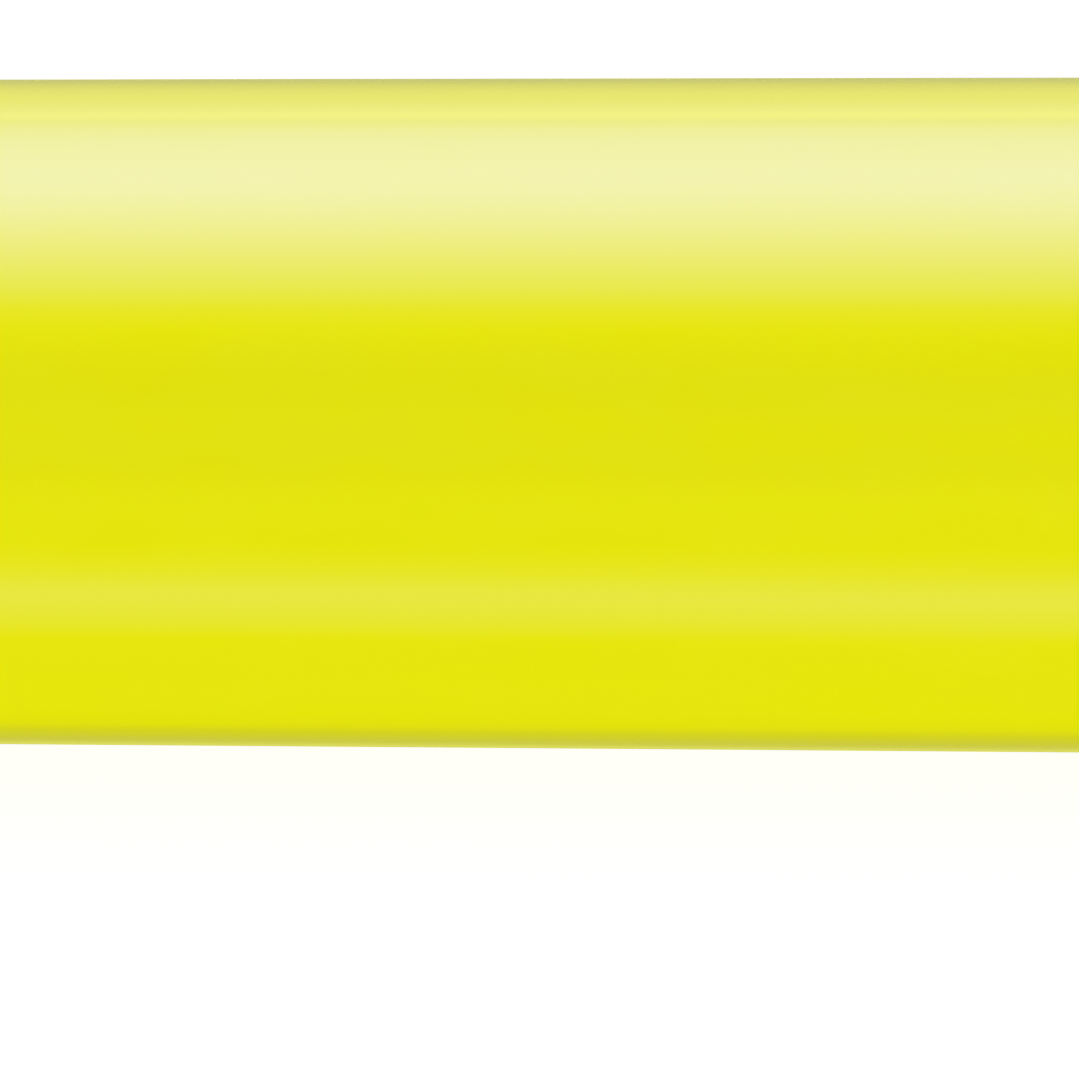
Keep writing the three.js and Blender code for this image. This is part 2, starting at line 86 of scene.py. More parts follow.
CROWN_START, LENGTH = span("cap_crown")
BARREL_START, BARREL_END = span("barrel")
TAIL_R = radius("tail_plug")
BARREL_END_R = radius("barrel")
SECTION_START, SECTION_END = span("nib_section")
NECK_BEAD_R = radius("nib_section")
STEM_START, NIB_END = span("nib")
LINER_START, LINER_END = span("inner_cap")
LINER_R = radius("inner_cap")
CAP_START, CAP_END = span("cap_shell")
CAP_MOUTH_R = AXIS_Z  # the cap's mouth touches the table
CROWN_R = radius("cap_crown")
CLIP_TIP, CLIP_ROOT = span("clip")
FILM_START, FILM_END = span("reservoir_film")
FILM_R = radius("reservoir_film")
CORE_START, CORE_END = span("reservoir_core")
CORE_R = radius("reservoir_core")
TUBE_START, TUBE_END = span("breather_tube")
TUBE_R = radius("breather_tube")
TUBE_CENTRE = (sum(box_mm("breather_tube"), Vector()) / 2).yz - Vector((AXIS_Y, AXIS_Z))

# ---- Dimensions that the boxes don't give, in millimetres ----

SEGMENTS = 192  # round each turned piece
FILLET_STEPS = 6  # straight steps in a quarter of a circle
FIT = 0.1  # radial gap where one piece is pushed into another
SEAM = 0.15  # gap along the pen where the crown seats on the shell
GATE_DEPTH = 0.14  # of the dimple that a mould's gate leaves in an end face
GATE_R = 0.72
GATE_FLOOR_R = 0.5

# Barrel and tail plug
BORE_R = 4.55
BORE_RIBS = 6
BORE_RIB_WIDTH = 0.6
BORE_RIB_HEIGHT = 0.25
BORE_RIB_RUN_OUT = 0.5
SPIGOT_R = BORE_R - FIT
SPIGOT_WALL = 1.0
TAIL_FLANGE = 2.0
TAIL_SPIGOT_END = 10.0
TAIL_SNAP = (6.0, 7.2)  # where the tail plug's snap ring starts and ends
SECTION_SNAP = (89.0, 90.2)  # and the nib section's
SNAP_RING_R = 4.6
SNAP_GROOVE_R = 4.75
SNAP_SLOPE = 0.2  # length of the slope at each end of a ring or groove
SNAP_SLACK = 0.15  # how far a groove runs past each end of its ring
SNAP_EDGE = 0.06  # fillets of a ring or groove

# Reservoir
FILM_WALL = 0.2
FILM_OVERLAP = math.radians(40)  # how much of the wrap lies double
FILM_STEP = 0.04  # how far the double part stands up
FILM_STEP_SPAN = math.radians(4)
FILM_CRIMP = 0.05  # how far the wrap's ends are drawn in
FILM_CRIMP_LENGTH = 1.6
CORE_STEPS = 30
CORE_EDGE = 0.1
CORE_HOLE_POINT = 0.6  # length of the cone that ends the nib's hole
STRAND_DEPTH = 0.07
STRAND_SINK = 0.03  # how far the strands' middle level lies under the rod's surface
STRAND_FINENESS = 9
STRAND_DRIFT = 0.184  # how much the strands change from one ring to the next
TUBE_WALL = 0.25
TUBE_EDGE = 0.05
TUBE_SEGMENTS = 48
TUBE_GROOVE_R = TUBE_R + 0.15

# Nib section
NECK_START = CAP_START
NECK_END = NECK_START + 7.4
NECK_R = NECK_BEAD_R - 0.08
NECK_BEAD = (NECK_START + 3.2, NECK_START + 4.4)
LAND_START = NECK_END + 0.6
LAND_R = 4.1
LAND_END = NECK_END + 5.0
SECTION_TIP_R = 3.3
SECTION_RIM = 0.45  # width of the flat rim round the socket
SECTION_HOLLOW_R = 3.4  # behind the nib's socket
SECTION_HOLLOW_END = 97.9
STEM_BORE_START = 98.9
SOCKET_START = 103.4
SOCKET_LEAD_IN = 0.08
NOTCH_HALF_WIDTH = 0.5  # of the air notch in each flat of the socket
NOTCH_DEPTH = 0.5

# Nib
STEM_R = 1.7
STEM_BORE_R = STEM_R + 2 * FIT
STEM_POINT = 2.0
STEM_POINT_R = 0.5
NIB_HALF_WIDTH = 2.5
NIB_HALF_THICKNESS = 1.7
NIB_SQUARENESS = 5.0  # exponent of its superellipse section
NIB_BLADE_START = SOCKET_START + 0.3
NIB_SHOULDER = 0.1  # length of the step from the stem to the blade
NIB_BEVEL_START = 113.2
NIB_SLANT = 2.6
NIB_STEPS = 30  # rings along the blade, and again along its bevels
NIB_EDGE = 0.75  # half the thickness of the chisel's edge
NIB_EDGE_INSETS = (0.5, 0.66)  # of the rings that close that edge
NIB_WEAR_START = 0.93  # share of the bevels after which the edge is worn round
NIB_ROUNDING = 0.28
NIB_GRAIN = 0.018  # depth of the felt's unevenness along its fibres
NIB_WAVES = 0.03  # and of its coarser unevenness

# Cap
CAP_BORE_R = 4.95
CAP_LAND_R = 5.0  # the bore that slides over the neck
CAP_GROOVE_R = 5.14
CAP_GROOVE_SLACK = 0.3
CAP_LAND_SLOPE = 0.2
CAP_TOP_R = 5.64
CAP_EDGE = 0.3
CAP_RIBS = 6
CAP_RIB_WIDTH = 0.6
CAP_RIB_ROOT = 0.15  # how deep a rib is sunk in the shell's wall
CAP_RIB_SLOPE = (0.3, 0.2)  # length and height of the slope at a rib's mouth end
FLUTES = 9
FLUTE_PITCH = math.radians(9)
FLUTE_START, FLUTE_END = 99.0, 115.0
FLUTE_RUN_OUT = 0.8
FLUTE_RUN_OUT_STEPS = 8
FLUTE_WIDTH = 0.56
FLUTE_DEPTH = 0.2
SHELL_SEGMENTS = 400
LIP_LENGTH = 2.4  # of the inner cap's sealing lip
LIP_SLOPE = 0.4
LIP_HEIGHT = 0.12  # of the lip over the wall behind it
LINER_FLOOR_R = LAND_R + FIT + 0.08
LINER_FLOOR = 0.9

# Crown
CROWN_SEGMENTS = 108
CROWN_WALL = 1.2
CROWN_FLOOR = 1.4
VENTS = 3
VENT_INNER_R, VENT_OUTER_R = 2.0, 3.1
VENT_SPAN = math.radians(70)
VENT_EDGE = 0.12  # width of the band that carries the slots' rounded edges

# Clip
CLIP_DROP = math.radians(27)  # how far the clip points below the horizontal
CLIP_HALF_WIDTH = 2.3
CLIP_TIP_HALF_WIDTH = 1.85
CLIP_THICKNESS = 1.25
CLIP_CROWNING = 0.1  # how much the arm's outer face is domed across
CLIP_EDGE = 0.4
CLIP_INNER_EDGE = 0.18
CLIP_CORNER_RELIEF = 0.3  # how much farther out its rounding and doming let the outer face lie
CLIP_FACE_STEPS = 8  # from the middle of the clip's inner or outer face to its edge
CLIP_BUMP_AT = 103.0
CLIP_BUMP_RAMP = 2.8
CLIP_BUMP_GAP = 0.3
CLIP_THINNING = 0.3  # how much each face is drawn in at the tip
CLIP_NOSE = 0.5  # length of the tip's rounding, seen from the side
CLIP_ARM_STEPS = 90
CLIP_ELBOW = 0.9  # inner radius where the arm leaves the boss
CLIP_ELBOW_STEPS = 32
CLIP_ELBOW_SQUARENESS = 3.0  # exponent of the elbow's superellipse outside
BOSS_START = CLIP_ROOT - 0.3
BOSS_END = CAP_END - 0.6
BOSS_SINK = 0.3  # how deep in the shell's wall the boss starts
BOSS_FILLET = 0.45
BOSS_FILLET_STEPS = 14
BOSS_TUCK = 0.012  # how far the fillet's thin edge lies under the shell's surface
BOSS_SIDE_STEPS = 8

PEN = Matrix.Scale(MM, 4) @ Matrix.Translation((TAIL_X, AXIS_Y, AXIS_Z))
CAP = PEN @ Matrix.Rotation(math.pi + CLIP_DROP, 4, "X")


def outer_radius(along):
    """The barrel's outer radius, with its draft."""
    share = (along - BARREL_START) / (BARREL_END - BARREL_START)
    return TAIL_R + (BARREL_END_R - TAIL_R) * share


def shell_radius(along):
    """The cap's outer radius."""
    share = (along - CAP_START) / (CAP_END - CAP_START)
    return CAP_MOUTH_R + (CAP_TOP_R - CAP_MOUTH_R) * share


# ---- Mesh helpers ----


def smoothstep(low, high, value):
    """Goes smoothly from 0 at low to 1 at high."""
    share = min(max((value - low) / (high - low), 0.0), 1.0)
    return share * share * (3 - 2 * share)


def fillet(before, corner, after, size):
    """The arc that rounds a corner of a flat outline, as points."""
    back = (before - corner).normalized()
    ahead = (after - corner).normalized()
    half = back.angle(ahead) / 2
    nearly_straight = math.pi / 2 - half < 0.01
    if size == 0 or nearly_straight:
        return [corner]
    reach = size / math.tan(half)
    centre = corner + (back + ahead).normalized() * size / math.sin(half)
    first = corner + back * reach - centre
    last = corner + ahead * reach - centre
    sweep = first.angle_signed(last)
    steps = max(3, math.ceil(abs(sweep) / (math.pi / 2) * FILLET_STEPS))
    return [centre + rotated(first, -sweep * i / steps) for i in range(steps + 1)]


def rotated(vector, angle):
    """A flat vector turned anticlockwise."""
    c, s = math.cos(angle), math.sin(angle)
    return Vector((vector.x * c - vector.y * s, vector.x * s + vector.y * c))


def outline(corners, closed):
    """Points through corners of (along, radius, fillet). An open outline keeps its two ends sharp."""
    flat = [Vector(corner[:2]) for corner in corners]
    points = []
    for i, corner in enumerate(corners):
        at_end = i in (0, len(corners) - 1)
        if at_end and not closed:
            points.append(flat[i])
        else:
            points += fillet(flat[i - 1], flat[i], flat[(i + 1) % len(flat)], corner[2])
    return points


def ring(along, size, count=SEGMENTS):
    """Points round the axis. size is the radius, or a function from angle to radius."""
    if not callable(size) and size < 1e-6:
        return [Vector((along, 0, 0))]
    points = []
    for i in range(count):
        angle = 2 * math.pi * i / count
        reach = size(angle) if callable(size) else size
        points.append(Vector((along, reach * math.cos(angle), reach * math.sin(angle))))
    return points


def skin(rings, closed):
    """Vertices and faces that join each ring to the next. A ring of one point is a tip."""
    vertices = [point for one in rings for point in one]
    starts = [0]
    for one in rings:
        starts.append(starts[-1] + len(one))
    faces = []
    for i in range(len(rings) if closed else len(rings) - 1):
        j = (i + 1) % len(rings)
        faces += strip(starts[i], len(rings[i]), starts[j], len(rings[j]))
    return vertices, faces


def strip(first, first_count, second, second_count):
    """Faces between two rings, given each one's first vertex and its number of vertices."""
    count = max(first_count, second_count)
    faces = []
    for i in range(count):
        j = (i + 1) % count
        if first_count == 1:
            faces.append((first, second + j, second + i))
        elif second_count == 1:
            faces.append((first + i, first + j, second))
        else:
            faces.append((first + i, first + j, second + j, second + i))
    return faces


def mesh_object(name, vertices, faces, matrix):
    """A smooth-shaded object whose faces all point outwards."""
    mesh = bpy.data.meshes.new(name)
    mesh.from_pydata([matrix @ v for v in vertices], [], faces)
    solid = bmesh.new()
    solid.from_mesh(mesh)
    bmesh.ops.recalc_face_normals(solid, faces=solid.faces)
    for face in solid.faces:
        face.smooth = True
    solid.to_mesh(mesh)
    solid.free()
    thing = bpy.data.objects.new(name, mesh)
    bpy.context.scene.collection.objects.link(thing)
    return thing


def finished(thing, material, body, replaced, bevel=0.0):
    """Gives a piece its material, even shading and body, and hides the CAD nodes that it replaces."""
    thing.data.materials.append(material)
    if bevel:
        rounding = thing.modifiers.new("rounded edges", "BEVEL")
        rounding.width = bevel * MM
        rounding.segments = 2
        rounding.limit_method = "ANGLE"
        rounding.angle_limit = math.radians(50)
    thing.modifiers.new("even shading", "WEIGHTED_NORMAL")
    if body:
        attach(thing, body)
    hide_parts(*replaced)


def turned(name, corners, closed, count=SEGMENTS):
    """A piece of revolution about the pen's axis."""
    rings = [ring(p.x, p.y, count) for p in outline(corners, closed)]
    return mesh_object(name, *skin(rings, closed), PEN)


# ---- Material helpers ----


class Shader:
    """A material's node tree, with short ways to add what the materials here share."""

    def __init__(self, name):
        self.material = bpy.data.materials.new(name)
        self.material.use_nodes = True
        self.tree = self.material.node_tree
        self.surface = self.tree.nodes["Principled BSDF"]
        self.place = self.tree.nodes.new("ShaderNodeTexCoord").outputs["Object"]

    def link(self, output, node, socket):
        self.tree.links.new(output, node.inputs[socket])

    def set(self, **values):
        """Sets the surface's own sockets: an underscore stands for a space in a socket's name."""
        for socket, value in values.items():
            self.surface.inputs[socket.replace("_", " ")].default_value = value

    def noise(self, per_mm, detail=2.0, roughness=0.5):
        """Noise with that many features to the millimetre along X, Y and Z."""
        mapping = self.tree.nodes.new("ShaderNodeMapping")
        mapping.inputs["Scale"].default_value = [n / MM for n in per_mm]
        self.link(self.place, mapping, "Vector")
        texture = self.tree.nodes.new("ShaderNodeTexNoise")
        texture.inputs["Scale"].default_value = 1.0
        texture.inputs["Detail"].default_value = detail
        texture.inputs["Roughness"].default_value = roughness
        self.link(mapping.outputs["Vector"], texture, "Vector")
        return texture.outputs["Fac"]

    def ranged(self, value, low, high, start=0.3, end=0.7):
        """Maps a value from start..end to low..high, and stops at both ends."""
        node = self.tree.nodes.new("ShaderNodeMapRange")
        node.inputs["From Min"].default_value = start
        node.inputs["From Max"].default_value = end
        node.inputs["To Min"].default_value = low
        node.inputs["To Max"].default_value = high
        self.link(value, node, "Value")
        return node.outputs["Result"]

    def mixed(self, share, first, second):
        """A colour between two: each is a colour or another node's output."""
        node = self.tree.nodes.new("ShaderNodeMix")
        node.data_type = "RGBA"
        colours = [s for s in node.inputs if s.type == "RGBA"]
        self.tree.links.new(share, node.inputs[0])
        for socket, colour in zip(colours, (first, second)):
            if isinstance(colour, tuple):
                socket.default_value = (*colour, 1)
            else:
                self.tree.links.new(colour, socket)
        return next(s for s in node.outputs if s.type == "RGBA")

    def bump(self, height, depth_mm, under=None):
        """Adds relief, over another bump's normal if one is given."""
        node = self.tree.nodes.new("ShaderNodeBump")
        node.inputs["Distance"].default_value = depth_mm * MM
        self.link(height, node, "Height")
        if under:
            self.link(under, node, "Normal")
        return node.outputs["Normal"]


# ---- Materials ----

FLUORESCENT = (0.753, 0.745, 0.0015)
FLUORESCENT_DEEP = (0.736, 0.724, 0.001)
FELT_PALE = (0.8, 0.83, 0.03)
FELT_DARK = (0.56, 0.6, 0.002)
FELT_SOAKED = (0.66, 0.68, 0.003)
MILKY = (0.88, 0.88, 0.83)
MILKY_DULL = (0.8, 0.81, 0.74)
INK_PALE = (0.8, 0.86, 0.05)
INK_DARK = (0.42, 0.5, 0.004)
FILM_PALE = (0.82, 0.86, 0.5)
FILM_TINTED = (0.7, 0.76, 0.25)


def moulded_yellow(name, gloss):
    """Opaque fluorescent plastic: faint clouding, draw marks along the mould, slightly uneven gloss."""
    s = Shader(name)
    s.set(IOR=1.49, Subsurface_Weight=0.06, Subsurface_Scale=0.4 * MM)
    s.set(Subsurface_Radius=(1.0, 0.9, 0.1))
    clouds = s.noise((0.05, 0.3, 0.3), detail=3)
    s.link(s.mixed(clouds, FLUORESCENT_DEEP, FLUORESCENT), s.surface, "Base Color")
    s.link(s.ranged(s.noise((0.4, 1.2, 1.2)), gloss - 0.02, gloss + 0.02), s.surface, "Roughness")
    draw_marks = s.bump(s.noise((0.03, 3.0, 3.0), detail=4), 0.0006)
    s.link(s.bump(s.noise((2.0, 2.0, 2.0)), 0.0004, draw_marks), s.surface, "Normal")
    return s.material


def stained_felt():
    """Pressed fibres running along the pen, soaked with yellow ink and darker where it pools."""
    s = Shader("stained felt")
    s.set(Roughness=0.92, Sheen_Weight=0.35, Sheen_Roughness=0.5, Specular_IOR_Level=0.2)
    fibres = s.noise((0.7, 14.0, 14.0), detail=5, roughness=0.7)
    pools = s.noise((0.5, 0.8, 0.8), detail=3)
    fibre_colour = s.mixed(s.ranged(fibres, 0, 1), FELT_DARK, FELT_PALE)
    shade = s.mixed(s.ranged(pools, 0, 0.5), fibre_colour, FELT_SOAKED)
    s.link(shade, s.surface, "Base Color")
    s.link(s.bump(fibres, 0.06), s.surface, "Normal")
    return s.material


def soft_white():
    """Natural polyethylene: milky, waxy, faintly mottled."""
    s = Shader("soft white")
    s.set(IOR=1.51, Subsurface_Weight=0.35, Subsurface_Scale=0.8 * MM)
    s.set(Subsurface_Radius=(1.0, 1.0, 0.8))
    mottling = s.noise((0.4, 0.6, 0.6), detail=3)
    s.link(s.mixed(mottling, MILKY_DULL, MILKY), s.surface, "Base Color")
    s.link(s.ranged(mottling, 0.36, 0.5), s.surface, "Roughness")
    s.link(s.bump(s.noise((3.0, 3.0, 3.0)), 0.002), s.surface, "Normal")
    return s.material


def wet_fibre():
    """Loose polyester fibre, soaked with ink."""
    s = Shader("wet fibre")
    s.set(Roughness=0.7)
    fibres = s.noise((0.3, 10.0, 10.0), detail=4)
    s.link(s.mixed(s.ranged(fibres, 0, 1), INK_DARK, INK_PALE), s.surface, "Base Color")
    s.link(s.bump(fibres, 0.08), s.surface, "Normal")
    return s.material


def clear_film():
    """Thin wrap, tinted by the ink behind it."""
    s = Shader("clear film")
    creases = s.noise((0.1, 0.8, 0.8), detail=3)
    s.link(s.mixed(creases, FILM_TINTED, FILM_PALE), s.surface, "Base Color")
    s.link(s.ranged(creases, 0.12, 0.24), s.surface, "Roughness")
    s.link(s.bump(creases, 0.02), s.surface, "Normal")
    return s.material


BODY = moulded_yellow("barrel plastic", 0.1)
LID = moulded_yellow("cap plastic", 0.12)
FELT = stained_felt()
WHITE = soft_white()

# ---- Barrel side ----


def snap_corners(ends, low, high, slack=0.0):
    """An outline's corners over a snap ring, or, with the radii given for one, down into its groove."""
    start, end = ends[0] - slack, ends[1] + slack
    return (
        (start, low, SNAP_EDGE),
        (start + SNAP_SLOPE, high, SNAP_EDGE),
        (end - SNAP_SLOPE, high, SNAP_EDGE),
        (end, low, SNAP_EDGE),
    )


def groove_corners(ends):
    """The corners of a snap groove in the barrel's bore, from its front end to its rear."""
    return snap_corners(ends, BORE_R, SNAP_GROOVE_R, SNAP_SLACK)[::-1]


def rib_height(angle):
    """How far the reservoir's ribs stand up from the bore at an angle round it."""
    pitch = 2 * math.pi / BORE_RIBS
    from_rib = (angle + pitch / 2) % pitch - pitch / 2
    share = min(abs(from_rib) * BORE_R / (BORE_RIB_WIDTH / 2), 1.0)
    return BORE_RIB_HEIGHT * (1 - share**4)


def make_barrel():
    """A tube with rounded rims and a little draft. Its bore has snap grooves, and ribs for the reservoir."""
    loop_end = TAIL_SNAP[0] - 0.5  # in the plain bore, where the last ring joins the first
    before = outline(
        (
            (loop_end - 0.5, BORE_R, 0),
            (BARREL_START, BORE_R, 0.15),
            (BARREL_START, TAIL_R, 0.22),
            (BARREL_END, BARREL_END_R, 0.3),
            (BARREL_END, BORE_R, 0.2),
            *groove_corners(SECTION_SNAP),
            (FILM_END, BORE_R, 0),
        ),
        closed=False,
    )
    after = outline(
        ((FILM_START, BORE_R, 0), *groove_corners(TAIL_SNAP), (loop_end, BORE_R, 0)),
        closed=False,
    )
    rings = [ring(p.x, p.y) for p in before]
    for along in (FILM_END - BORE_RIB_RUN_OUT, FILM_START + BORE_RIB_RUN_OUT):
        rings.append(ring(along, lambda angle: BORE_R - rib_height(angle)))
    rings += [ring(p.x, p.y) for p in after]
    barrel = mesh_object("barrel_body", *skin(rings, closed=True), PEN)
    finished(barrel, BODY, "pen", ["barrel"])


def gate_mark(face, floor):
    """The corners of the dimple in the middle of an end face, given where the face and its floor lie."""
    return (floor, 0, 0), (floor, GATE_FLOOR_R, 0.08), (face, GATE_R, 0.12)


def make_tail_plug():
    """Flat-faced plug with a gate mark in the middle, and the spigot and snap ring that hold it."""
    corners = (
        *gate_mark(0.0, GATE_DEPTH),
        (0.0, TAIL_R, 0.8),
        (TAIL_FLANGE, TAIL_R, 0.15),
        (TAIL_FLANGE, SPIGOT_R, 0.1),
        *snap_corners(TAIL_SNAP, SPIGOT_R, SNAP_RING_R),
        (TAIL_SPIGOT_END, SPIGOT_R, 0.3),
        (TAIL_SPIGOT_END, SPIGOT_R - SPIGOT_WALL, 0.2),
        (TAIL_FLANGE, SPIGOT_R - SPIGOT_WALL, 0.3),
        (TAIL_FLANGE, 0, 0),
    )
    plug = turned("tail_cap", corners, closed=False)
    finished(plug, BODY, "pen", ["tail_plug"])


def make_reservoir_film():
    """Thin wrap with a lengthwise overlap and slightly drawn-in ends."""
    inside = FILM_R - FILM_WALL
    profile = (
        (FILM_START, inside - FILM_CRIMP),
        (FILM_START + FILM_CRIMP_LENGTH, inside),
        (FILM_END - FILM_CRIMP_LENGTH, inside),
        (FILM_END, inside - FILM_CRIMP),
        (FILM_END, FILM_R - FILM_CRIMP),
        (FILM_END - FILM_CRIMP_LENGTH, FILM_R),
        (FILM_START + FILM_CRIMP_LENGTH, FILM_R),
        (FILM_START, FILM_R - FILM_CRIMP),
    )
    rings = [ring(along, overlapped(size)) for along, size in profile]
    film = mesh_object("reservoir_wrap", *skin(rings, closed=True), PEN)
    finished(film, clear_film(), "pen", ["reservoir_film"])


def overlapped(size):
    """The wrap's radius as a function of the angle: it steps up where it lies double."""

    def reach(angle):
        if angle >= FILM_OVERLAP:
            return size
        return size + FILM_STEP * smoothstep(0, FILM_STEP_SPAN, angle)

    return reach


def tube_groove(angle):
    """How far out the fibre rod reaches at an angle, which is less in its groove for the breather tube."""
    from_tube = angle - math.atan2(TUBE_CENTRE.y, TUBE_CENTRE.x)
    towards = TUBE_CENTRE.length * math.cos(from_tube)
    across = TUBE_CENTRE.length * math.sin(from_tube)
    if towards < 0 or abs(across) > TUBE_GROOVE_R:
        return CORE_R
    return towards - math.sqrt(TUBE_GROOVE_R**2 - across**2)


def strands(drift):
    """The rod's radius as a function of the angle, where drift moves on through the strands' noise."""

    def reach(angle):
        place = Vector((0, math.cos(angle), math.sin(angle))) * STRAND_FINENESS
        place.x = drift
        return tube_groove(angle) + STRAND_DEPTH * noise.noise(place) - STRAND_SINK

    return reach


def make_reservoir_core():
    """Fibre rod with lengthwise strands, the nib's hole in its front end, and the breather tube's groove."""
    first, last = CORE_START + CORE_EDGE, CORE_END - CORE_EDGE
    rings = [ring(CORE_START, 0), ring(CORE_START, tube_groove)]
    for i in range(CORE_STEPS + 1):
        rings.append(ring(first + (last - first) * i / CORE_STEPS, strands(i * STRAND_DRIFT)))
    rings += [
        ring(CORE_END, tube_groove),
        ring(CORE_END, STEM_BORE_R + CORE_EDGE),
        ring(last, STEM_BORE_R),
        ring(STEM_START, STEM_BORE_R),
        ring(STEM_START - CORE_HOLE_POINT, 0),
    ]
    core = mesh_object("reservoir_fibre", *skin(rings, closed=False), PEN)
    finished(core, wet_fibre(), "pen", ["reservoir_core"])


def make_breather_tube():
    """Fine tube beside the fibre rod."""
    corners = (
        (TUBE_START, TUBE_R - TUBE_WALL, TUBE_EDGE),
        (TUBE_START, TUBE_R, TUBE_EDGE),
        (TUBE_END, TUBE_R, TUBE_EDGE),
        (TUBE_END, TUBE_R - TUBE_WALL, TUBE_EDGE),
    )
    place = PEN @ Matrix.Translation((0, *TUBE_CENTRE))
    rings = [ring(p.x, p.y, TUBE_SEGMENTS) for p in outline(corners, closed=True)]
    tube = mesh_object("air_tube", *skin(rings, closed=True), place)
    finished(tube, WHITE, "pen", ["breather_tube"])


def rounded_rectangle(half_y, half_z):
    """The nib's cross-section, as a function from angle to radius."""

    def reach(angle):
        y = abs(math.cos(angle)) / half_y
        z = abs(math.sin(angle)) / half_z
        return (y**NIB_SQUARENESS + z**NIB_SQUARENESS) ** (-1 / NIB_SQUARENESS)

    return reach


def socket(angle):
    """The section's socket: the nib's outline with an air notch in each flat."""
    flat = rounded_rectangle(NIB_HALF_THICKNESS + FIT, NIB_HALF_WIDTH + FIT)(angle)
    across = NOTCH_HALF_WIDTH / max(abs(math.sin(angle)), 1e-6)
    deep = (NIB_HALF_THICKNESS + NOTCH_DEPTH) / max(abs(math.cos(angle)), 1e-6)
    return max(flat, min(across, deep))


def make_section():
    """Spigot with its snap ring, neck with its bead, sealing land and cone, and the nib's socket."""
    bead_start, bead_end = NECK_BEAD
    outside = outline(
        (
            (SECTION_START, SECTION_HOLLOW_R, 0),
            (SECTION_START, SPIGOT_R, 0.3),
            *snap_corners(SECTION_SNAP, SPIGOT_R, SNAP_RING_R),
            (NECK_START, SPIGOT_R, 0.05),
            (NECK_START, NECK_R, 0.15),
            (bead_start, NECK_R, 1.0),
            ((bead_start + bead_end) / 2, NECK_BEAD_R, 1.0),
            (bead_end, NECK_R, 1.0),
            (NECK_END, NECK_R, 0.35),
            (LAND_START, LAND_R, 0.2),
            (LAND_END, LAND_R, 4.0),
            (SECTION_END, SECTION_TIP_R, 0.35),
            (SECTION_END, SECTION_TIP_R - SECTION_RIM, 0),
        ),
        closed=False,
    )
    rings = [ring(p.x, p.y) for p in outside]
    rings += [
        ring(SECTION_END, lambda angle: socket(angle) + SOCKET_LEAD_IN),
        ring(SECTION_END - SOCKET_LEAD_IN, socket),
        ring(SOCKET_START, socket),
        ring(SOCKET_START, STEM_BORE_R),
        ring(STEM_BORE_START, STEM_BORE_R),
        ring(SECTION_HOLLOW_END, SECTION_HOLLOW_R),
    ]
    section = mesh_object("front_section", *skin(rings, closed=True), PEN)
    finished(section, BODY, "pen", ["nib_section"])


def nib_tip(height):
    """How far along the chisel's edge lies at a height across it: its upper corner is the long one."""
    return NIB_END - NIB_SLANT * (NIB_HALF_WIDTH - height) / (2 * NIB_HALF_WIDTH)


def nib_blade_ring(share, inset):
    """The blade's section, from the start of its bevels (share 0) to its edge (share 1)."""
    half_y = NIB_HALF_THICKNESS + (NIB_EDGE - NIB_HALF_THICKNESS) * share - inset
    points = ring(0, rounded_rectangle(half_y, NIB_HALF_WIDTH - inset))
    for point in points:
        point.x = NIB_BEVEL_START + (nib_tip(point.z) - NIB_BEVEL_START) * share
    return points


def felted(point):
    """A point of the nib's surface, moved by the felt's unevenness."""
    along_fibres = Vector((point.x * 1.5, point.y * 6, point.z * 6))
    push = NIB_GRAIN * noise.noise(along_fibres) + NIB_WAVES * noise.noise(point * 1.1)
    outward = Vector((0, point.y, point.z)).normalized()
    return point + outward * push


def make_nib():
    """Round stem, and a flat blade cut to a slanted chisel with soft worn edges."""
    stem = [
        ring(STEM_START, 0),
        ring(STEM_START, STEM_POINT_R),
        ring(STEM_START + STEM_POINT, STEM_R),
        ring(NIB_BLADE_START - NIB_SHOULDER, STEM_R),
    ]
    section = rounded_rectangle(NIB_HALF_THICKNESS, NIB_HALF_WIDTH)
    flat_length = NIB_BEVEL_START - NIB_BLADE_START
    blade = [ring(NIB_BLADE_START + flat_length * i / NIB_STEPS, section) for i in range(NIB_STEPS)]
    for i in range(NIB_STEPS + 1):
        share = i / NIB_STEPS
        worn = max(0.0, (share - NIB_WEAR_START) / (1 - NIB_WEAR_START))
        blade.append(nib_blade_ring(share, NIB_ROUNDING * worn**3))
    blade += [nib_blade_ring(1.0, inset) for inset in NIB_EDGE_INSETS]
    middle = Vector((nib_tip(0), 0, 0))
    rings = stem + [[felted(p) for p in one] for one in blade] + [[middle]]
    nib = mesh_object("chisel_nib", *skin(rings, closed=False), PEN)
    finished(nib, FELT, "pen", ["nib"])


# ---- Cap side ----


def flute_depth(along, angle):
    """How deep the finger flutes are at a place on the cap. They lie on both sides of the clip."""
    ends = smoothstep(FLUTE_START, FLUTE_START + FLUTE_RUN_OUT, along)
    ends *= 1 - smoothstep(FLUTE_END - FLUTE_RUN_OUT, FLUTE_END, along)
    if ends == 0:
        return 0.0
    from_side = abs(angle % math.pi - math.pi / 2)
    nearest = round(from_side / FLUTE_PITCH)
    if nearest > FLUTES // 2:
        return 0.0
    across = (from_side - nearest * FLUTE_PITCH) * CAP_MOUTH_R
    share = min(abs(across) / (FLUTE_WIDTH / 2), 1.0)
    return FLUTE_DEPTH * ends * (0.5 + 0.5 * math.cos(math.pi * share))


def fluted(along):
    """The shell's outer radius as a function of the angle, at a place along it."""
    return lambda angle: shell_radius(along) - flute_depth(along, angle)


def shell_places():
    """Places along the cap's outside that need a ring, close together where the flutes run out."""
    steps = FLUTE_RUN_OUT_STEPS
    run_out = [FLUTE_RUN_OUT * i / steps for i in range(steps + 1)]
    return [FLUTE_START + d for d in run_out] + [FLUTE_END - d for d in reversed(run_out)]


